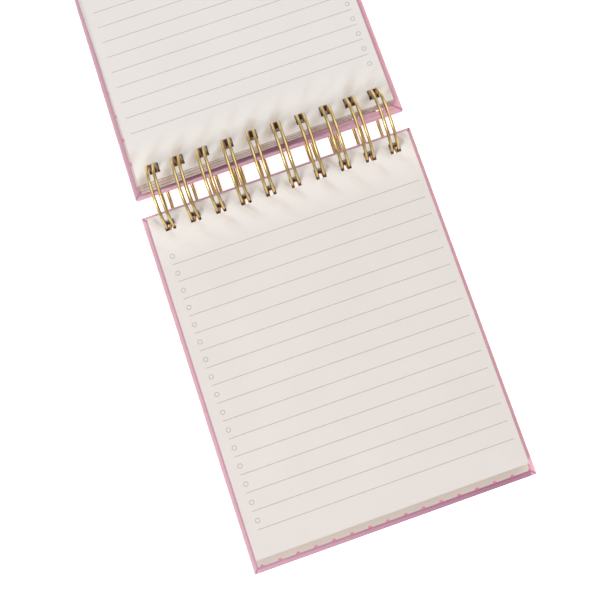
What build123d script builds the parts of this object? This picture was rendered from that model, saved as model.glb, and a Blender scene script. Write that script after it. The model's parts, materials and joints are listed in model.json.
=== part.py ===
from build123d import *
import os
from math import asin, atan2, ceil, degrees, hypot, pi, radians, sqrt

# Wire-bound notebook, open with its front cover and some leaves turned over.
# Millimetres. +Z up, the wire rings' common axis runs along X above the origin, and the
# notebook stands on z = 0. The back cover lies toward -Y and the front cover toward +Y.

# Covers: a greyboard, a sheet wrapped round it, and an endpaper over the turned-in edges
COVER_WIDTH = 139.7
COVER_LENGTH = 177.8
BOARD_THICKNESS = 1.85
WRAP_THICKNESS = 0.25
ENDPAPER_THICKNESS = 0.15
TURN_IN = 15.0
MITRE_GAP = 0.3
ENDPAPER_MARGIN = 2.6
ENDPAPER_BINDING_MARGIN = 5.4  # wider, so the cloth is bare beside the rings
WRAP_CORNER_RADIUS = 0.6
WRAP_EDGE_RADIUS = 0.4
COVER_EDGE = 5.0  # from the ring axis to the cover's binding edge
COVER_HOLE = 8.8  # from the ring axis to the near side of the cover's holes
COVER_HOLE_LENGTH = 7.2

# Leaves
LEAF_WIDTH = 132.6
LEAF_OFFSET = 0.5  # from the middle of the covers to the middle of the leaves, toward +X
LEAF_LENGTH = 167.2
LEAF_THICKNESS = 0.2
LEAF_PITCH = 0.3125  # one leaf and the air under it
LEAF_HOLE_MARGIN = 3.6
LOWER_LEAVES = 36
FLIPPED_LEAVES = 12
LOWER_LEAF_EDGE = 8.75  # from the ring axis to the leaves' binding edge
LOWER_LEAF_SCATTER = 0.12
FLIPPED_EDGE_BOTTOM = 8.3  # at the middle of the bottom flipped leaf's binding edge
FLIPPED_EDGE_TOP = 10.5
FLIPPED_SKEW_BOTTOM = 1.15  # degrees that the bottom flipped leaf is turned on its wire
LEAVES_PER_STEP = 3  # flipped leaves that stay together in one step of the fan

# Wire: one double-loop comb
LOOPS = 10
LOOP_PITCH = 12.7
COMB_OFFSET = 1.0  # from the middle of the covers to the middle of the comb, toward +X
HOLE_SIDE = 5.2
LEG_SPACING = 3.25
WIRE_DIAMETER = 1.5
RING_RADIUS = 16.5  # to the wire's centre
BASE_BEND_RADIUS = 2.0
SEAM_START = 240.0  # degrees from +Y over +Z, where the legs leave the spine of the comb
SEAM_GAP = 4.3  # along the ring, from the start of the legs to the centre of their tips' bend
END_STUB = 2.0

# Worked out
COVER_THICKNESS = BOARD_THICKNESS + 2 * WRAP_THICKNESS + ENDPAPER_THICKNESS
CLOSED_CLEARANCE = 0.1
STACK_HEIGHT = (LOWER_LEAVES + FLIPPED_LEAVES) * LEAF_PITCH
AXIS_TO_OUTER_FACE = COVER_THICKNESS + (STACK_HEIGHT + CLOSED_CLEARANCE) / 2
RING_HEIGHT = RING_RADIUS + WIRE_DIAMETER / 2
COVER_REACH = COVER_EDGE + COVER_LENGTH
# each pad slopes down from the rings until its far edge rests on z = 0
TILT = degrees(
    asin(RING_HEIGHT / hypot(COVER_REACH, AXIS_TO_OUTER_FACE))
    - atan2(AXIS_TO_OUTER_FACE, COVER_REACH)
)
LOOP_PLACES = [(n - (LOOPS - 1) / 2) * LOOP_PITCH for n in range(LOOPS)]

# A pad is modelled with the ring axis on its X axis and the pad toward +Y.
FRONT = Pos(0, 0, RING_HEIGHT) * Rot(-TILT, 0, 0)
BACK = Pos(0, 0, RING_HEIGHT) * Rot(0, 0, 180) * Rot(-TILT, 0, 0)


def hole_row(near_side, length, offset):
    """The outlines of a row of holes, near_side from the ring axis and offset along it."""
    middle = near_side + length / 2
    return [Pos(x + offset, middle) * Rectangle(HOLE_SIDE, length) for x in LOOP_PLACES]


def cover_holes(offset):
    return Sketch() + hole_row(COVER_HOLE, COVER_HOLE_LENGTH, offset)


def sheet(outline, bottom, thickness):
    """A flat piece of the outline's shape."""
    return Pos(0, 0, bottom) * extrude(outline, amount=thickness)


def cover_outline(inset, corner=0.0):
    """The cover's rectangle, drawn in by inset on all four sides."""
    width, length = COVER_WIDTH - 2 * inset, COVER_LENGTH - 2 * inset
    middle = COVER_EDGE + COVER_LENGTH / 2
    if corner:
        return Pos(0, middle) * RectangleRounded(width, length, corner)
    return Pos(0, middle) * Rectangle(width, length)


def cover_board(offset):
    outline = cover_outline(WRAP_THICKNESS) - cover_holes(offset)
    return sheet(outline, WRAP_THICKNESS - AXIS_TO_OUTER_FACE, BOARD_THICKNESS)


def mitre_cuts(bottom):
    """Thin diagonal gaps where the turned-in edges meet at the four corners."""
    reach = TURN_IN * sqrt(2)
    cuts = []
    for side in (-1, 1):
        for end, slope in ((COVER_EDGE, 1), (COVER_REACH, -1)):
            corner = Pos(side * COVER_WIDTH / 2, end, bottom + WRAP_THICKNESS / 2)
            inward = Rot(0, 0, slope * (90 + side * 45))
            start = WRAP_EDGE_RADIUS * 2
            gap = Pos(start + reach / 2, 0, 0) * Box(reach, MITRE_GAP, WRAP_THICKNESS)
            cuts.append(corner * inward * gap)
    return cuts


def cover_wrap(offset):
    """The covering sheet: the outer face, the four edges and the turned-in strips."""
    bottom = -AXIS_TO_OUTER_FACE
    height = BOARD_THICKNESS + 2 * WRAP_THICKNESS
    shell = sheet(cover_outline(0, WRAP_CORNER_RADIUS), bottom, height)
    rims = shell.faces().filter_by(Axis.Z)
    shell = fillet(rims.edges(), WRAP_EDGE_RADIUS)
    shell -= sheet(cover_outline(WRAP_THICKNESS), bottom + WRAP_THICKNESS, BOARD_THICKNESS)
    turn_in_bottom = bottom + WRAP_THICKNESS + BOARD_THICKNESS
    shell -= sheet(cover_outline(TURN_IN), turn_in_bottom, WRAP_THICKNESS)
    shell -= mitre_cuts(turn_in_bottom)
    return shell - sheet(cover_holes(offset), bottom, height)


def cover_endpaper(offset):
    """The endpaper, glued over the turned-in strips and stepping down onto the board."""
    on_board = WRAP_THICKNESS + BOARD_THICKNESS - AXIS_TO_OUTER_FACE
    on_strips = on_board + WRAP_THICKNESS
    bare_middle = Pos(0, COVER_EDGE + ENDPAPER_BINDING_MARGIN / 2)
    bare = bare_middle * Rectangle(COVER_WIDTH, ENDPAPER_BINDING_MARGIN)
    paper = sheet(cover_outline(ENDPAPER_MARGIN) - bare, on_strips, ENDPAPER_THICKNESS)
    paper += sheet(cover_outline(TURN_IN), on_board, WRAP_THICKNESS)
    dip = cover_outline(TURN_IN + ENDPAPER_THICKNESS)
    paper -= sheet(dip, on_board + ENDPAPER_THICKNESS, WRAP_THICKNESS)
    height = WRAP_THICKNESS + ENDPAPER_THICKNESS
    return paper - sheet(cover_holes(offset), on_board, height)


def leaf(number_below, edge, skew, toward_x):
    """One punched leaf, with its binding edge at edge and turned a little by skew.

    toward_x is 1 in a pad whose own X runs along +X, and -1 in one that is turned round.
    """
    air = LEAF_PITCH - LEAF_THICKNESS
    bottom = COVER_THICKNESS - AXIS_TO_OUTER_FACE + air / 2 + number_below * LEAF_PITCH
    middle = Pos(toward_x * LEAF_OFFSET, edge + LEAF_LENGTH / 2)
    comb = toward_x * COMB_OFFSET
    holes = hole_row(edge + LEAF_HOLE_MARGIN, HOLE_SIDE, comb)
    outline = middle * Rectangle(LEAF_WIDTH, LEAF_LENGTH) - holes
    about_wire = Pos(comb, RING_RADIUS) * Rot(0, 0, skew) * Pos(-comb, -RING_RADIUS)
    return about_wire * sheet(outline, bottom, LEAF_THICKNESS)


def lower_leaf(number):
    """A leaf on the back cover. Number 1 is the top one."""
    number_below = LOWER_LEAVES - number
    scatter = LOWER_LEAF_SCATTER * (number * 2 % 5 - 2) / 2
    return leaf(number_below, LOWER_LEAF_EDGE + scatter, 0, -1)


def flipped_leaf(number):
    """A leaf turned over onto the front cover. Number 1 is the top one."""
    number_below = FLIPPED_LEAVES - number
    steps = ceil(FLIPPED_LEAVES / LEAVES_PER_STEP) - 1
    share = number_below // LEAVES_PER_STEP / steps
    edge = FLIPPED_EDGE_BOTTOM + share * (FLIPPED_EDGE_TOP - FLIPPED_EDGE_BOTTOM)
    return leaf(number_below, edge, (1 - share) * FLIPPED_SKEW_BOTTOM, 1)


def on_ring(x, angle):
    """A frame on the wire's circle: X across the loops, Y along the ring."""
    return Rot(angle, 0, 0) * Pos(x, RING_RADIUS, 0) * Rot(90, 0, 0)


def on_spine(x):
    """A point of the comb's spine, which the legs' base bends lead down to."""
    return (on_ring(x, SEAM_START) * Pos(0, -BASE_BEND_RADIUS, 0)).position


def leg(x, sweep):
    """One leg's middle line, round the ring."""
    end = SEAM_START + sweep
    arc = Edge.make_circle(RING_RADIUS, start_angle=SEAM_START, end_angle=end)
    return Pos(x, 0, 0) * (Plane.YZ * arc)


def comb_route():
    """The wire's middle line: along the spine, up one leg, round its tip and down the next."""
    half = LEG_SPACING / 2
    bend = half + BASE_BEND_RADIUS
    sweep = 360 - degrees(SEAM_GAP / RING_RADIUS)
    left_turn = Edge.make_circle(BASE_BEND_RADIUS, start_angle=270, end_angle=360)
    right_turn = Edge.make_circle(BASE_BEND_RADIUS, start_angle=180, end_angle=270)
    tip_turn = Edge.make_circle(half, start_angle=0, end_angle=180)
    reached = LOOP_PLACES[0] - bend - END_STUB
    route = []
    for x in LOOP_PLACES:
        route.append(Edge.make_line(on_spine(reached), on_spine(x - bend)))
        route.append(on_ring(x - bend, SEAM_START) * left_turn)
        route.append(leg(x - half, sweep))
        route.append(on_ring(x, SEAM_START + sweep) * tip_turn)
        route.append(leg(x + half, sweep))
        route.append(on_ring(x + bend, SEAM_START) * right_turn)
        reached = x + bend
    route.append(Edge.make_line(on_spine(reached), on_spine(reached + END_STUB)))
    return route


def wire_binding():
    route = Wire(comb_route())
    section = Plane(route @ 0, z_dir=route % 0) * Circle(WIRE_DIAMETER / 2)
    wire = sweep(section, path=route)
    expected = pi * (WIRE_DIAMETER / 2) ** 2 * route.length
    print("wire length", round(route.length, 1), "volume", round(wire.volume, 1), round(expected, 1))
    return Pos(COMB_OFFSET, 0, RING_HEIGHT) * wire


def save(name, shape):
    export_step(shape, f"parts/{name}.step")


os.makedirs("parts", exist_ok=True)
save("wire_binding", wire_binding())
# the back pad is turned round, so the comb's offset counts the other way in it
for name, place, offset in (
    ("back_cover", BACK, -COMB_OFFSET),
    ("front_cover", FRONT, COMB_OFFSET),
):
    save(f"{name}_board", place * cover_board(offset))
    save(f"{name}_wrap", place * cover_wrap(offset))
    save(f"{name}_endpaper", place * cover_endpaper(offset))
for number in range(1, LOWER_LEAVES + 1):
    save(f"leaf_{number:02d}", BACK * lower_leaf(number))
for number in range(1, FLIPPED_LEAVES + 1):
    save(f"flipped_leaf_{number:02d}", FRONT * flipped_leaf(number))
print("tilt", round(TILT, 4), "ring height", RING_HEIGHT, "axis to outer face", AXIS_TO_OUTER_FACE)
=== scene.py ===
import json
import math

import bmesh
import bpy
from mathutils import Matrix, Vector


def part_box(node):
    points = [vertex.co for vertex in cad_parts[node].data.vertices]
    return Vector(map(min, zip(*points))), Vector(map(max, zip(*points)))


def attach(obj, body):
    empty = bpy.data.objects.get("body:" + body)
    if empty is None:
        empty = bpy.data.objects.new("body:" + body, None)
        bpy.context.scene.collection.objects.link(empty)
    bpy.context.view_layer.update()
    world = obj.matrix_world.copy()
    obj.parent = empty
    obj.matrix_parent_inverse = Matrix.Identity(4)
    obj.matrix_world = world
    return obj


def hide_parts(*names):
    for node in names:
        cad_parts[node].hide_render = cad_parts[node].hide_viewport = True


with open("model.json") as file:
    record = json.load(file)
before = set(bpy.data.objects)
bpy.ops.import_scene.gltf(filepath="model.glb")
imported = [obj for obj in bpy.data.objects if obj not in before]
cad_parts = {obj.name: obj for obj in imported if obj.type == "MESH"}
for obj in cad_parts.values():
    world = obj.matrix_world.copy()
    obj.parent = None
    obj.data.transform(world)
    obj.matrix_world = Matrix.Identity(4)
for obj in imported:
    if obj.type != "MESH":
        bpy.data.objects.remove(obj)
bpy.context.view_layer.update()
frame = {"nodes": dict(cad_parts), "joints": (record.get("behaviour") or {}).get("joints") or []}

MM = 0.001

# The frame: the rings' axis runs along X, and each pad slopes down from it to the floor.
RING_CENTRE = Vector(frame["joints"][0]["pos_m"])
HINGE_TURN = abs(math.radians(frame["joints"][0]["range_deg"][0]))
TILT = (HINGE_TURN - math.pi) / 2
COVER_LOW, COVER_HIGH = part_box("back_cover_wrap")
COVER_WIDTH = COVER_HIGH.x - COVER_LOW.x

# The comb, and the leaves' holes with it, sits a little toward +X of the covers' middle
WIRE_LOW, WIRE_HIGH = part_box("wire_binding")
COMB_MIDDLE = (WIRE_LOW.x + WIRE_HIGH.x) / 2
LOOP_PITCH = 12.7 * MM
LOOPS = 10
HOLE_SIDE = 5.2 * MM
TOP_FLIPPED_EDGE = 10.5 * MM
FLIPPED_HOLE_END = 19.3 * MM  # the far side of the top flipped leaf's holes
LEG_SPACING = 3.25 * MM
WIRE_RADIUS = 0.75 * MM
BASE_BEND_RADIUS = 2.0 * MM
SEAM_START = math.radians(240.0)  # from +Y over +Z
SEAM_GAP = 4.3 * MM
LEG_STEPS = 56
BEND_STEPS = 8
TIP_STEPS = 14
WIRE_SIDES = 20
CAP_RINGS = 2
CAP_TURN = math.radians(40)  # from one ring of a rounded end to the next
END_STUB = 2.0 * MM
RING_OUTSIDE = (WIRE_HIGH.z - WIRE_LOW.z) / 2

# Printing on the leaves, measured from the rings' axis and from the middle of the comb
ROWS = 16
ROW_PITCH = 8.623 * MM
FIRST_BULLET = {-1: 29.93 * MM, 1: 32.56 * MM}
FIRST_LINE = {-1: 33.92 * MM, 1: 37.68 * MM}
PRINT_SHIFT = {-1: 0.0, 1: 0.31 * MM}  # toward +X
BULLET_SIDE = 60.54 * MM
BULLET_RADIUS = 1.02 * MM
BULLET_STROKE = 0.34 * MM
LINE_START = -61.67 * MM  # on the bullets' side
LINE_END = 63.10 * MM
LINE_STROKE = 0.34 * MM

# Printing on the endpapers
DOT_PITCH_ACROSS = 8.85 * MM
DOT_PITCH_ALONG = 13.3 * MM
DOT_RADIUS = 1.05 * MM
DOT_SHIFT_ACROSS = {-1: -1.0 * MM, 1: 0.0}
DOT_SHIFT_ALONG = {-1: -0.8 * MM, 1: -4.0 * MM}

# The cloth's turned-in edges
TURN_IN = 15.0 * MM
COVER_EDGE = 5.0 * MM  # from the rings' axis
COVER_LENGTH = 177.8 * MM
COVER_REACH = COVER_EDGE + COVER_LENGTH
STRIP_GROOVE = 2.2 * MM  # in from the cover's edge
THREAD = 0.42 * MM

# How strongly one colour covers another, from 0 to 1, for painted shade, painted light and wear. -1
# is the back pad and 1 the front one.
GROOVE_SHADE_TINT = {-1: 0.7, 1: 0.35}
MITRE_SHADE_TINT = 0.7
FOLD_SHADE_TINT = 0.6
FAN_SHADOW_TINT = 0.85
FOOT_SHADE_TINT = 0.25  # at the cover's middle and toward -X
FOOT_SHADE_GAIN = 0.55  # more, by the +X side
SIDE_LIGHT_TINT = 0.45
WEAR_TINT = 0.75
DENT_SHADE_TINT = {-1: 0.10, 1: 0.26}
NEAR_RINGS_LIGHT_TINT = 0.8
HOLE_TINT = 0.9
FAN_SHADE_TINT = 0.45

# Depths of the bumps
FIBRE_DEPTH = 0.02 * MM
WAVE_DEPTH = 1.2 * MM
DENT_DEPTH = 0.6 * MM
ENDPAPER_DEPTH = 0.03 * MM
WEAVE_DEPTH = 0.06 * MM
SLUB_DEPTH = 0.04 * MM
CREASE_DEPTH = 0.35 * MM
PULP_DEPTH = 0.1 * MM
DRAW_MARK_DEPTH = 0.004 * MM

# Colours, linear
# The front pad's paper is painted lighter and cooler than the back pad's, as painted light; both
# pads are the same paper.
LEAF_COLOUR = {-1: (0.80, 0.745, 0.71, 1), 1: (0.83, 0.79, 0.765, 1)}
LEAF_SHADE = {-1: (0.75, 0.695, 0.655, 1), 1: (0.785, 0.745, 0.715, 1)}
LEAF_PAINTED_LIGHT = (0.95, 0.90, 0.85, 1)
PAPER_WARM = (0.65, 0.545, 0.435, 1)
PAPER_EDGE = (0.68, 0.60, 0.52, 1)
BINDING_EDGE_SHADE = (0.42, 0.235, 0.175, 1)
HOLE_PAINTED_SHADE = (0.045, 0.02, 0.014, 1)
PRINT_COLOUR = (0.34, 0.30, 0.305, 1)
CLOTH_COLOUR = (0.84, 0.485, 0.59, 1)
CLOTH_SHADE = (0.72, 0.385, 0.485, 1)
CLOTH_PAINTED_LIGHT = (0.98, 0.47, 0.53, 1)
CLOTH_WORN = (0.89, 0.68, 0.76, 1)
CLOTH_FOLD_SHADE = (0.34, 0.13, 0.22, 1)
CLOTH_PAINTED_SHADOW = (0.17, 0.06, 0.115, 1)
CLOTH_LAPPED = (0.50, 0.24, 0.34, 1)
CLOTH_FOOT_SHADE = (0.37, 0.145, 0.255, 1)
ENDPAPER_COLOUR = (0.77, 0.685, 0.62, 1)
ENDPAPER_SHADE = (0.68, 0.585, 0.52, 1)
DOT_COLOUR = (0.80, 0.19, 0.36, 1)
BOARD_COLOUR = (0.12, 0.075, 0.055, 1)
BOARD_FLECK = (0.24, 0.17, 0.13, 1)
WIRE_COLOUR = (0.93, 0.69, 0.30, 1)
WIRE_TARNISH = (0.68, 0.48, 0.17, 1)
WIRE_PAINTED_SHADE = (0.25, 0.125, 0.035, 1)
FAN_PAINTED_SHADE = (0.56, 0.40, 0.33, 1)


class Graph:
    """A material's node tree, with short ways to add nodes to it."""

    def __init__(self, name):
        self.material = bpy.data.materials.new(name)
        self.material.use_nodes = True
        self.tree = self.material.node_tree
        self.shader = self.tree.nodes["Principled BSDF"]
        self.place = self.add("ShaderNodeTexCoord").outputs["Object"]
        self.normal = self.add("ShaderNodeTexCoord").outputs["Normal"]

    def add(self, kind, **settings):
        node = self.tree.nodes.new(kind)
        for key, value in settings.items():
            setattr(node, key, value)
        return node

    def put(self, value, socket):
        if isinstance(value, bpy.types.NodeSocket):
            self.tree.links.new(value, socket)
        else:
            socket.default_value = value

    def math(self, operation, *values, clamp=False):
        node = self.add("ShaderNodeMath", operation=operation, use_clamp=clamp)
        for value, socket in zip(values, node.inputs):
            self.put(value, socket)
        return node.outputs[0]

    def dot(self, vector, direction):
        node = self.add("ShaderNodeVectorMath", operation="DOT_PRODUCT")
        self.put(vector, node.inputs[0])
        self.put(direction, node.inputs[1])
        return node.outputs["Value"]

    def from_rings(self):
        node = self.add("ShaderNodeVectorMath", operation="SUBTRACT")
        self.put(self.place, node.inputs[0])
        self.put(RING_CENTRE, node.inputs[1])
        return node.outputs[0]

    def on_pad(self, side):
        """How far a place is from the rings' axis along the pad, and from the covers' middle."""
        place = self.from_rings()
        away, _ = pad_directions(side)
        return self.dot(place, away), self.dot(place, Vector((1, 0, 0)))

    def distance(self, first, second):
        square = self.math("ADD", self.math("POWER", first, 2.0), self.math("POWER", second, 2.0))
        return self.math("SQRT", square)

    def step(self, value, edge, softness):
        """0 below the edge and 1 above it, over a short ramp."""
        node = self.add("ShaderNodeMapRange", interpolation_type="SMOOTHSTEP")
        self.put(value, node.inputs["Value"])
        self.put(edge - softness, node.inputs["From Min"])
        self.put(edge + softness, node.inputs["From Max"])
        return node.outputs[0]

    def band(self, value, middle, half_width, softness):
        """1 within half_width of the middle and 0 outside it."""
        off = self.math("ABSOLUTE", self.math("SUBTRACT", value, middle))
        return self.math("SUBTRACT", 1.0, self.step(off, half_width, softness))

    def mix(self, factor, first, second):
        node = self.add("ShaderNodeMix", data_type="RGBA")
        self.put(factor, node.inputs[0])
        self.put(first, node.inputs[6])
        self.put(second, node.inputs[7])
        return node.outputs[2]

    def noise(self, scale, detail=3.0, stretch=(1, 1, 1)):
        mapping = self.add("ShaderNodeMapping")
        self.put(self.place, mapping.inputs["Vector"])
        mapping.inputs["Scale"].default_value = stretch
        node = self.add("ShaderNodeTexNoise")
        self.put(mapping.outputs[0], node.inputs["Vector"])
        node.inputs["Scale"].default_value = scale
        node.inputs["Detail"].default_value = detail
        return node.outputs["Fac"]

    def bump(self, height, depth, strength=1.0, under=None):
        node = self.add("ShaderNodeBump")
        self.put(height, node.inputs["Height"])
        node.inputs["Distance"].default_value = depth
        node.inputs["Strength"].default_value = strength
        if under is not None:
            self.put(under, node.inputs["Normal"])
        return node.outputs[0]

    def finish(self, colour, roughness, normal=None):
        self.put(colour, self.shader.inputs["Base Color"])
        self.put(roughness, self.shader.inputs["Roughness"])
        if normal is not None:
            self.put(normal, self.shader.inputs["Normal"])
        return self.material


def pad_directions(side):
    """Away from the rings along the pad, and up out of it. side is 1 toward +Y and -1 toward -Y."""
    away = Vector((0, side * math.cos(TILT), -math.sin(TILT)))
    up = Vector((0, side * math.sin(TILT), math.cos(TILT)))
    return away, up


def nearest_row(g, away, first):
    """How far a place is from the nearest printed row, along the pad."""
    rows = g.math("DIVIDE", g.math("SUBTRACT", away, first), ROW_PITCH)
    row = g.math("MINIMUM", g.math("MAXIMUM", g.math("ROUND", rows), 0.0), ROWS - 1.0)
    return g.math("MULTIPLY", g.math("SUBTRACT", rows, row), ROW_PITCH)


def ruling(g, side, away, across):
    """1 on the ruled lines and the bullets, on both faces of a leaf."""
    _, up = pad_directions(side)
    faces_up = g.math("SIGN", g.dot(g.normal, up))
    # the bullets are on the -X side of the faces that look up when the notebook is closed
    across = g.math("SUBTRACT", across, PRINT_SHIFT[side])
    across = g.math("MULTIPLY", across, g.math("MULTIPLY", faces_up, -float(side)))
    line_off = nearest_row(g, away, FIRST_LINE[side])
    on_line = g.band(line_off, 0.0, LINE_STROKE / 2, 0.06 * MM)
    after_start = g.math("GREATER_THAN", across, LINE_START)
    before_end = g.math("LESS_THAN", across, LINE_END)
    line = g.math("MULTIPLY", on_line, g.math("MULTIPLY", after_start, before_end))
    bullet_away = nearest_row(g, away, FIRST_BULLET[side])
    bullet_across = g.math("ADD", across, BULLET_SIDE)
    from_middle = g.distance(bullet_away, bullet_across)
    bullet = g.band(from_middle, BULLET_RADIUS, BULLET_STROKE / 2, 0.06 * MM)
    return g.math("MAXIMUM", line, bullet)


def hole_shade(g, away, across):
    """Painted shade inside the holes: 1 in line with each hole, on the strip that ends where the
    top flipped leaf's holes do.
    """
    off_hole = g.math("PINGPONG", g.math("ADD", across, LOOP_PITCH / 2), LOOP_PITCH / 2)
    in_line = g.math("SUBTRACT", 1.0, g.step(off_hole, HOLE_SIDE / 2, 0.08 * MM))
    between_ends = g.band(across, 0.0, LOOPS / 2 * LOOP_PITCH, 0.1 * MM)
    beyond = g.band(away, FLIPPED_HOLE_END - 2.6 * MM, 2.55 * MM, 0.05 * MM)
    return g.math("MULTIPLY", g.math("MULTIPLY", in_line, between_ends), beyond)


def leaf_paper(name, side):
    """Ruled paper, dented where the rings pull at it. Painted shade darkens the dents by the rings,
    the cut edges by the binding, the holes' walls and, on the front pad, its fan of leaf edges and
    the ledges in its holes; painted light makes the paper by the rings lighter.
    """
    g = Graph(name)
    away, from_cover_middle = g.on_pad(side)
    across = g.math("SUBTRACT", from_cover_middle, COMB_MIDDLE)
    _, up = pad_directions(side)
    flat = g.math("GREATER_THAN", g.math("ABSOLUTE", g.dot(g.normal, up)), 0.7)
    cloudy = g.noise(38.0, 4.0)
    fibres = g.noise(2600.0, 2.0, (1, 0.35, 1))
    paper = g.mix(cloudy, LEAF_COLOUR[side], LEAF_SHADE[side])
    fleck = g.math("MULTIPLY", g.step(fibres, 0.6, 0.12), 0.4)
    paper = g.mix(fleck, paper, LEAF_SHADE[side])
    near_rings = g.math("SUBTRACT", 1.0, g.step(away, 1.45 * RING_OUTSIDE, 0.75 * RING_OUTSIDE))
    phase = g.math("ADD", across, g.math("MULTIPLY", away, -0.75))
    ripple = g.math("SINE", g.math("MULTIPLY", phase, 2 * math.pi / LOOP_PITCH))
    # Painted light: the paper by the rings is mixed toward a lighter colour.
    paper = g.mix(g.math("MULTIPLY", near_rings, NEAR_RINGS_LIGHT_TINT), paper, LEAF_PAINTED_LIGHT)
    dent = g.math("MULTIPLY", g.math("POWER", g.math("ADD", ripple, 1.0), 2.0), near_rings)
    uneven = g.math("MULTIPLY", dent, g.step(g.noise(75.0, 2.0), 0.5, 0.22))
    # Painted shade: warm diagonal stripes on the dents by the rings.
    dent_shade = g.math("MULTIPLY", uneven, DENT_SHADE_TINT[side], clamp=True)
    paper = g.mix(dent_shade, paper, PAPER_WARM)
    ink_gaps = g.math("MULTIPLY", g.step(g.noise(3000.0, 1.0), 0.35, 0.15), 0.75)
    ink = g.math("MULTIPLY", ruling(g, side, away, across), ink_gaps)
    paper = g.mix(ink, paper, PRINT_COLOUR)
    if side > 0:
        # Painted shade on the ledges seen inside the front pad's holes.
        shade = g.math("MULTIPLY", hole_shade(g, away, across), HOLE_TINT)
        paper = g.mix(shade, paper, HOLE_PAINTED_SHADE)
        # Painted shade on the front pad's fan of leaf edges below the top flipped leaf.
        in_fan = g.math("SUBTRACT", 1.0, g.step(away, TOP_FLIPPED_EDGE - 0.2 * MM, 0.12 * MM))
        paper = g.mix(g.math("MULTIPLY", in_fan, FAN_SHADE_TINT), paper, FAN_PAINTED_SHADE)
    at_holes = g.band(away, RING_OUTSIDE - 1.5 * MM, 4.9 * MM, 0.3 * MM)
    at_holes = g.math("MULTIPLY", at_holes, g.band(across, 0.0, 5 * LOOP_PITCH, 0.3 * MM))
    # Painted shade: the cut edges by the binding are dark reddish brown; the other cut edges keep
    # the paper's edge colour.
    cut = g.mix(g.step(away, 11.2 * MM, 0.3 * MM), BINDING_EDGE_SHADE, PAPER_EDGE)
    layers = g.step(g.noise(1500.0, 2.0, (0.05, 0.05, 3.0)), 0.5, 0.25)
    cut = g.mix(g.math("MULTIPLY", layers, 0.3), cut, PAPER_WARM)
    # Painted shade: the holes' walls are near black.
    cut = g.mix(at_holes, cut, HOLE_PAINTED_SHADE)
    colour = g.mix(flat, cut, paper)
    roughness = g.math("ADD", 0.78, g.math("MULTIPLY", fibres, 0.16))
    rough = g.bump(fibres, FIBRE_DEPTH, 0.5)
    waves = g.bump(g.noise(16.0, 1.0), WAVE_DEPTH, 0.35, rough)
    return g.finish(colour, roughness, g.bump(uneven, DENT_DEPTH, 0.7, waves))


def dotted_endpaper(name, side):
    """Cream paper printed with dots in staggered rows."""
    g = Graph(name)
    away, across = g.on_pad(side)
    away = g.math("ADD", away, DOT_SHIFT_ALONG[side])
    across = g.math("ADD", across, DOT_SHIFT_ACROSS[side])
    distances = []
    for shift in (0.0, 0.5):
        to_column = g.math("ADD", across, shift * DOT_PITCH_ACROSS)
        to_row = g.math("ADD", away, shift * DOT_PITCH_ALONG)
        off_across = g.math("PINGPONG", to_column, DOT_PITCH_ACROSS / 2)
        off_along = g.math("PINGPONG", to_row, DOT_PITCH_ALONG / 2)
        distances.append(g.distance(off_across, off_along))
    nearest = g.math("MINIMUM", *distances)
    dots = g.math("SUBTRACT", 1.0, g.step(nearest, DOT_RADIUS, 0.1 * MM))
    fibres = g.noise(2200.0, 2.0)
    base = g.mix(g.noise(45.0), ENDPAPER_COLOUR, ENDPAPER_SHADE)
    ink = g.math("MULTIPLY", dots, g.math("ADD", 0.72, g.math("MULTIPLY", fibres, 0.25)))
    colour = g.mix(ink, base, DOT_COLOUR)
    roughness = g.math("ADD", 0.6, g.math("MULTIPLY", fibres, 0.2))
    return g.finish(colour, roughness, g.bump(fibres, ENDPAPER_DEPTH, 0.5))


def to_edges(g, away, across):
    """How far a place on a cover is from the nearer side, and from the nearer end."""
    to_side = g.math("SUBTRACT", COVER_WIDTH / 2, g.math("ABSOLUTE", across))
    to_binding = g.math("SUBTRACT", away, COVER_EDGE)
    to_foot = g.math("SUBTRACT", COVER_REACH, away)
    return to_side, g.math("MINIMUM", to_binding, to_foot)


def fold_lines(g, side, away, across):
    """The creases of the turned-in edges: a groove beside each edge and one at each mitre. The
    cloth is bumped and painted with shade along them.
    """
    to_side, to_end = to_edges(g, away, across)
    uneven = g.math("MULTIPLY", g.math("SUBTRACT", g.noise(160.0, 2.0), 0.5), 1.1 * MM)
    off_mitre = g.math("ADD", g.math("SUBTRACT", to_side, to_end), uneven)
    mitre = g.math("MULTIPLY", g.band(off_mitre, 0.0, 0.55 * MM, 0.6 * MM), MITRE_SHADE_TINT)
    mitre = g.math("MULTIPLY", mitre, g.band(to_end, 0.0, TURN_IN, 0.5 * MM))
    inward = g.math("ADD", g.math("MINIMUM", to_side, to_end), g.math("MULTIPLY", uneven, 0.4))
    groove = g.band(inward, STRIP_GROOVE, 0.35 * MM, 0.4 * MM)
    groove = g.math("MULTIPLY", groove, GROOVE_SHADE_TINT[side])
    return g.math("MAXIMUM", mitre, groove)


def under_fan_shadow(g, away, across):
    """Painted shadow of the fan of leaves on the front cover beside its binding edge, fading toward
    both its ends.
    """
    from_edge = g.math("SUBTRACT", away, COVER_EDGE)
    ragged = g.math("MULTIPLY", g.math("SUBTRACT", g.noise(90.0, 2.0), 0.5), 1.2 * MM)
    fan_shadow = g.step(g.math("ADD", from_edge, ragged), 1.1 * MM, 0.6 * MM)
    return g.math("MULTIPLY", fan_shadow, g.band(across, -16 * MM, 44 * MM, 26 * MM))


def foot_shade(g, away, across):
    """Painted shade on the cloth at the cover's foot, deepening toward +X."""
    at_foot = g.step(away, COVER_REACH - 2.6 * MM, 0.5 * MM)
    to_side, _ = to_edges(g, away, across)
    inside_corners = g.step(to_side, 2.4 * MM, 0.6 * MM)
    toward_x = g.math("MULTIPLY", g.step(across, 0.0, COVER_WIDTH / 2), FOOT_SHADE_GAIN)
    tint = g.math("ADD", FOOT_SHADE_TINT, toward_x)
    return g.math("MULTIPLY", g.math("MULTIPLY", at_foot, inside_corners), tint)


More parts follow.
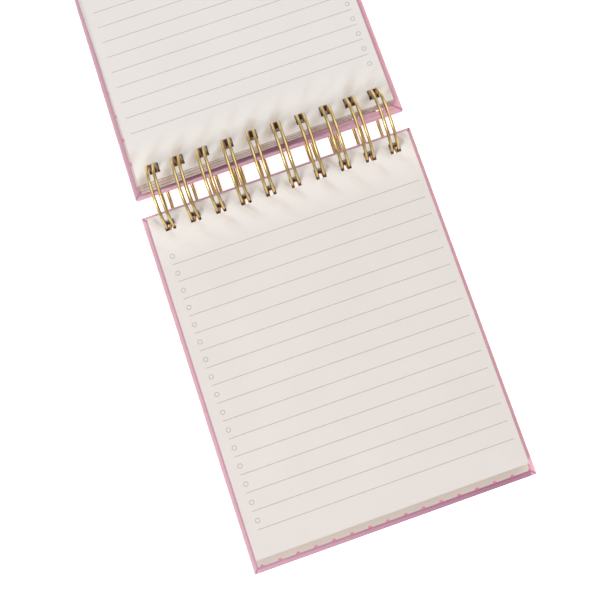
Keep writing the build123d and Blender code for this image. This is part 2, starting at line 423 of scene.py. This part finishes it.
def cover_cloth(name, side):
    """Woven book cloth, creased where it is folded in and worn pale along the cover's edges.
    Painted shade darkens the creases, the mitres, the foot and, on the front cover, the strip under
    the fan of leaves; painted light makes the cloth toward +X lighter and redder.
    """
    g = Graph(name)
    away, across = g.on_pad(side)
    _, up = pad_directions(side)
    warp = g.math("PINGPONG", across, THREAD / 2)
    weft = g.math("PINGPONG", away, THREAD / 2)
    over = g.math("MULTIPLY", g.math("ADD", warp, weft), 1 / THREAD)
    cloudy = g.noise(30.0, 4.0)
    slubs = g.noise(900.0, 2.0, (1, 0.2, 1))
    colour = g.mix(cloudy, CLOTH_COLOUR, CLOTH_SHADE)
    colour = g.mix(g.math("MULTIPLY", slubs, 0.4), colour, CLOTH_WORN)
    inside = g.math("GREATER_THAN", g.dot(g.normal, up), 0.7)
    folds = g.math("MULTIPLY", fold_lines(g, side, away, across), inside)
    # Painted light: the cloth toward +X is lighter and redder.
    lit_side = g.math("MULTIPLY", g.step(across, 0.4 * COVER_WIDTH, 0.08 * COVER_WIDTH), SIDE_LIGHT_TINT)
    colour = g.mix(g.math("MULTIPLY", lit_side, inside), colour, CLOTH_PAINTED_LIGHT)
    # Painted shade at the cover's foot.
    shaded_foot = g.math("MULTIPLY", foot_shade(g, away, across), inside)
    colour = g.mix(shaded_foot, colour, CLOTH_FOOT_SHADE)
    # Painted shade in the creases beside the turned-in edges and at the mitres; beside the endpaper
    # it also stands for a glue line.
    colour = g.mix(g.math("MULTIPLY", folds, FOLD_SHADE_TINT), colour, CLOTH_FOLD_SHADE)
    if side > 0:
        # Painted shadow of the fan of leaves on the front cover's strip by the binding.
        fan_shadow = g.math("MULTIPLY", under_fan_shadow(g, away, across), inside)
        colour = g.mix(g.math("MULTIPLY", fan_shadow, FAN_SHADOW_TINT), colour, CLOTH_PAINTED_SHADOW)
    at_edge = g.step(g.math("ABSOLUTE", across), COVER_WIDTH / 2 - 0.5 * MM, 0.35 * MM)
    wear = g.math("MULTIPLY", at_edge, g.step(g.noise(420.0, 3.0), 0.5, 0.14))
    colour = g.mix(g.math("MULTIPLY", wear, WEAR_TINT), colour, CLOTH_WORN)
    roughness = g.math("ADD", 0.62, g.math("MULTIPLY", slubs, 0.25))
    g.shader.inputs["Sheen Weight"].default_value = 0.25
    g.shader.inputs["Sheen Roughness"].default_value = 0.5
    weave = g.bump(over, WEAVE_DEPTH, 0.7)
    slubbed = g.bump(slubs, SLUB_DEPTH, 0.4, weave)
    creased = g.bump(g.math("SUBTRACT", 1.0, folds), CREASE_DEPTH, 0.8, slubbed)
    return g.finish(colour, roughness, creased)


def greyboard(name, side):
    """Pulpy raw board. Under the mitres at the cover's corners, cloth lapped over it shows."""
    g = Graph(name)
    away, across = g.on_pad(side)
    to_side, to_end = to_edges(g, away, across)
    off_mitre = g.math("SUBTRACT", to_side, to_end)
    at_mitre = g.band(off_mitre, 0.0, 1.0 * MM, 0.2 * MM)
    inward = g.math("MINIMUM", to_side, to_end)
    at_corner = g.math("SUBTRACT", 1.0, g.step(inward, 6.0 * MM, 0.3 * MM))
    pulp = g.noise(700.0, 5.0)
    colour = g.mix(g.step(pulp, 0.55, 0.12), BOARD_COLOUR, BOARD_FLECK)
    colour = g.mix(g.math("MULTIPLY", at_mitre, at_corner), colour, CLOTH_LAPPED)
    roughness = g.math("ADD", 0.8, g.math("MULTIPLY", pulp, 0.15))
    return g.finish(colour, roughness, g.bump(pulp, PULP_DEPTH, 0.6))


def gold_wire(name):
    """Drawn wire with a gold finish and tarnished patches; painted shade makes its sides and the
    rings' inside browner.
    """
    g = Graph(name)
    draw_marks = g.noise(500.0, 2.0, (1.0, 0.2, 0.2))
    tarnish = g.noise(120.0, 3.0)
    colour = g.mix(g.step(tarnish, 0.55, 0.2), WIRE_COLOUR, WIRE_TARNISH)
    # Painted shade: the wire's sides, facing along X, and the rings' inside are darker brown.
    sideways = g.math("ABSOLUTE", g.dot(g.normal, Vector((1, 0, 0))))
    colour = g.mix(g.math("MULTIPLY", g.step(sideways, 0.66, 0.24), 0.9), colour, WIRE_PAINTED_SHADE)
    around = g.add("ShaderNodeVectorMath", operation="MULTIPLY")
    g.put(g.from_rings(), around.inputs[0])
    g.put(Vector((0, 1, 1)), around.inputs[1])
    facing_out = g.dot(g.normal, around.outputs[0])
    inner = g.math("SUBTRACT", 1.0, g.step(facing_out, 0.0, 0.4 * RING_OUTSIDE))
    colour = g.mix(g.math("MULTIPLY", inner, 0.5), colour, WIRE_PAINTED_SHADE)
    roughness = g.math("ADD", 0.26, g.math("MULTIPLY", draw_marks, 0.1))
    g.shader.inputs["Metallic"].default_value = 1.0
    return g.finish(colour, roughness, g.bump(draw_marks, DRAW_MARK_DEPTH, 0.15))


def arc(middle, radius, start, end, steps):
    """Points round a circle in a flat drawing, without the first one."""
    points = []
    for n in range(1, steps + 1):
        angle = start + (end - start) * n / steps
        points.append((middle[0] + radius * math.cos(angle), middle[1] + radius * math.sin(angle)))
    return points


def wire_route():
    """The comb's middle line, drawn flat: first along the comb, then round the ring."""
    half = LEG_SPACING / 2
    bend = half + BASE_BEND_RADIUS
    height = 2 * math.pi * ring_radius() - SEAM_GAP
    first = -(LOOPS - 1) / 2 * LOOP_PITCH
    flat = [(first - bend - END_STUB, -BASE_BEND_RADIUS)]
    for loop in range(LOOPS):
        x = first + loop * LOOP_PITCH
        flat.append((x - bend, -BASE_BEND_RADIUS))
        flat += arc((x - bend, 0), BASE_BEND_RADIUS, -math.pi / 2, 0, BEND_STEPS)
        flat += [(x - half, height * n / LEG_STEPS) for n in range(1, LEG_STEPS + 1)]
        flat += arc((x, height), half, math.pi, 0, TIP_STEPS)
        flat += [(x + half, height * (1 - n / LEG_STEPS)) for n in range(1, LEG_STEPS + 1)]
        flat += arc((x + bend, 0), BASE_BEND_RADIUS, math.pi, 1.5 * math.pi, BEND_STEPS)
    flat.append((-first + bend + END_STUB, -BASE_BEND_RADIUS))
    return flat


def ring_radius():
    return RING_OUTSIDE - WIRE_RADIUS


def rolled(x, along):
    """The place of a point of the flat drawing on the rings' cylinder, and the way out of it."""
    angle = SEAM_START + along / ring_radius()
    outward = Vector((0, math.cos(angle), math.sin(angle)))
    return Vector((COMB_MIDDLE + x, 0, RING_CENTRE.z)) + outward * ring_radius(), outward


def smooth_wire():
    """The wire comb as one smooth tube with rounded ends."""
    places = [rolled(*point) for point in wire_route()]
    count = len(places)
    bm = bmesh.new()
    rings = []
    for n in range(-CAP_RINGS, count + CAP_RINGS):
        here, outward = places[min(max(n, 0), count - 1)]
        before = places[max(min(n, count - 1) - 1, 0)][0]
        after = places[min(max(n, 0) + 1, count - 1)][0]
        ahead = (after - before).normalized()
        sideways = ahead.cross(outward).normalized()
        up = sideways.cross(ahead)
        radius = WIRE_RADIUS
        past = max(-n, n - count + 1, 0)
        if past:
            bulge = math.sin(CAP_TURN * past)
            radius *= math.cos(CAP_TURN * past)
            here = here + ahead * (WIRE_RADIUS * bulge * (1 if n > 0 else -1))
        ring = []
        for k in range(WIRE_SIDES):
            turn = 2 * math.pi * k / WIRE_SIDES
            spoke = sideways * math.cos(turn) + up * math.sin(turn)
            ring.append(bm.verts.new(here + spoke * radius))
        rings.append(ring)
    for ring, following in zip(rings, rings[1:]):
        for k in range(WIRE_SIDES):
            after = (k + 1) % WIRE_SIDES
            bm.faces.new((ring[k], ring[after], following[after], following[k]))
    bm.faces.new(rings[0])
    bm.faces.new(rings[-1])
    bmesh.ops.recalc_face_normals(bm, faces=bm.faces)
    for face in bm.faces:
        face.smooth = True
    mesh = bpy.data.meshes.new("smooth_wire")
    bm.to_mesh(mesh)
    bm.free()
    wire = bpy.data.objects.new("smooth_wire", mesh)
    bpy.context.scene.collection.objects.link(wire)
    mesh.materials.append(gold_wire("wire"))
    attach(wire, "back_cover")
    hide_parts("wire_binding")


def give(node, material):
    """Puts a material on a CAD node's slots."""
    for slot in frame["nodes"][node].material_slots:
        slot.link = "OBJECT"
        slot.material = material


def dress():
    """Gives every CAD node its finish."""
    papers = {-1: leaf_paper("leaf_paper_back", -1), 1: leaf_paper("leaf_paper_front", 1)}
    for name, side in (("back_cover", -1), ("front_cover", 1)):
        give(f"{name}_board", greyboard(f"greyboard_{name}", side))
        give(f"{name}_wrap", cover_cloth(f"cloth_{name}", side))
        give(f"{name}_endpaper", dotted_endpaper(f"endpaper_{name}", side))
    smooth_wire()
    for node in frame["nodes"]:
        if node.startswith("leaf_"):
            give(node, papers[-1])
        elif node.startswith("flipped_leaf_"):
            give(node, papers[1])


def look_along(obj, place, forward, up):
    """Stands a camera or light at place, looking along forward."""
    z = -Vector(forward).normalized()
    x = Vector(up).cross(z).normalized()
    y = z.cross(x)
    obj.matrix_world = Matrix.Translation(place) @ Matrix((x, y, z)).transposed().to_4x4()


def make_camera():
    data = bpy.data.cameras.new("camera")
    camera = bpy.data.objects.new("camera", data)
    bpy.context.scene.collection.objects.link(camera)
    data.sensor_width = 36.0
    data.lens = 65.75
    data.shift_x = -0.0970
    data.shift_y = -0.1307
    place = Vector((0.00388 + COMB_MIDDLE, -0.14901, 0.53242))
    look_along(camera, place, (0.0471, 0.2012, -0.9784), (0.3257, 0.9229, 0.2055))
    bpy.context.scene.camera = camera


def area_light(name, place, size, power):
    """A round soft light that looks at the frame's origin."""
    data = bpy.data.lights.new(name, "AREA")
    data.shape = "DISK"
    data.size = size
    data.energy = power
    light = bpy.data.objects.new(name, data)
    bpy.context.scene.collection.objects.link(light)
    look_along(light, place, Vector((0, 0, 0)) - Vector(place), (0, 1, 0))


def make_sky():
    """A soft white surround, dimmer near the horizon."""
    world = bpy.data.worlds.new("studio")
    world.use_nodes = True
    nodes, links = world.node_tree.nodes, world.node_tree.links
    direction = nodes.new("ShaderNodeTexCoord")
    parts = nodes.new("ShaderNodeSeparateXYZ")
    ramp = nodes.new("ShaderNodeMapRange")
    ramp.inputs["To Min"].default_value = 0.12
    ramp.inputs["To Max"].default_value = 0.74
    links.new(direction.outputs["Generated"], parts.inputs[0])
    links.new(parts.outputs["Z"], ramp.inputs["Value"])
    links.new(ramp.outputs[0], nodes["Background"].inputs["Strength"])
    nodes["Background"].inputs["Color"].default_value = (1, 1, 1, 1)
    bpy.context.scene.world = world


def make_floor():
    """A white sweep that glows a little, so it stays white under soft light."""
    reach = 4.0
    corners = [(-reach, -reach, 0), (reach, -reach, 0), (reach, reach, 0), (-reach, reach, 0)]
    mesh = bpy.data.meshes.new("floor")
    mesh.from_pydata(corners, [], [(0, 1, 2, 3)])
    floor = bpy.data.objects.new("floor", mesh)
    bpy.context.scene.collection.objects.link(floor)
    g = Graph("floor")
    g.shader.inputs["Emission Color"].default_value = (1, 1, 1, 1)
    g.shader.inputs["Emission Strength"].default_value = 0.62
    mesh.materials.append(g.finish((0.9, 0.9, 0.9, 1), 0.9))


dress()
make_camera()
bpy.context.scene.view_settings.view_transform = "Standard"
make_sky()
area_light("key", (-0.6, -0.5, 1.0), 0.55, 6.6)
area_light("fill", (0.75, 0.7, 1.1), 1.5, 6.4)
make_floor()
